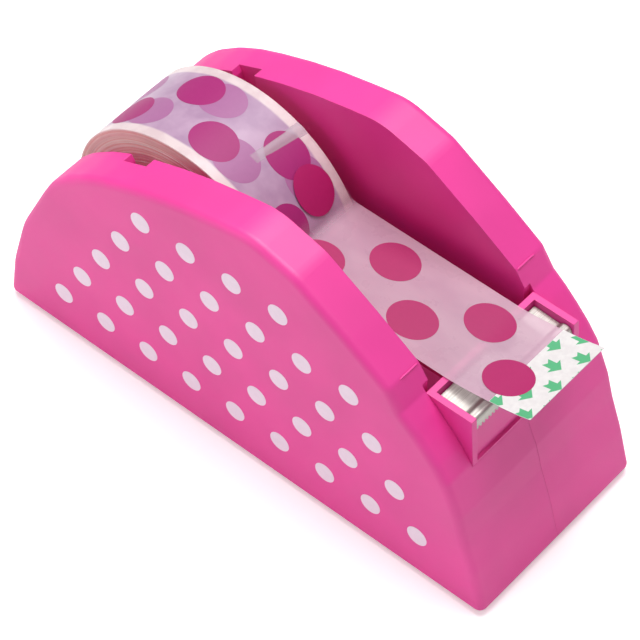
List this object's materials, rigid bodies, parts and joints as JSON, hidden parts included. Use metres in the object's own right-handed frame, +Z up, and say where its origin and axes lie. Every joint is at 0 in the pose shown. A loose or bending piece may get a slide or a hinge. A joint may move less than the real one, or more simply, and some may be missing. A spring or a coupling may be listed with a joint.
{
  "type": "tape dispenser",
  "caption": "Desk tape dispenser with a shaggy mound body, an open channel between two cheeks, a lift-out tape spool and a serrated steel cutter.",
  "frame": {"origin": "on the table, under the centre of the body", "axes": "+X towards the cutter, +Y across the body, +Z up"},
  "size_m": [0.1406, 0.053, 0.0758],
  "materials": {
    "body_pink": "satin moulded ABS",
    "base_plastic": "fine matt moulded",
    "foot_rubber": "soft matt",
    "screw_steel": "zinc plated",
    "ballast_iron": "raw",
    "blade_steel": "stamped and brushed",
    "spool_plastic": "moulded",
    "core_board": "wound board",
    "tape_film": "translucent printed film",
    "leader_paper": "printed liner"
  },
  "bodies": {
    "housing": {"housing_right": "body_pink", "housing_left": "body_pink", "base_plate": "base_plastic", "foot_pads": "foot_rubber", "base_screws": "screw_steel", "ballast_front": "ballast_iron", "cutter_tray": "body_pink", "cutter_blade": "blade_steel"},
    "spool": {"axle": "spool_plastic", "tape_strip": "tape_film", "leader_tab": "leader_paper"},
    "roll": {"hub_right": "spool_plastic", "hub_left": "spool_plastic", "tape_core": "core_board", "tape_roll": "tape_film"}
  },
  "joints": [
    {"name": "spool_lift", "type": "slide", "parent": "housing", "child": "spool", "axis": [-0.2334, 0, 0.9724], "range_m": [0, 0.038]},
    {"name": "roll_spin", "type": "hinge", "parent": "spool", "child": "roll", "pos_m": [-0.02741, 0, 0.0371], "axis": [0, 1, 0], "continuous": true}
  ]
}
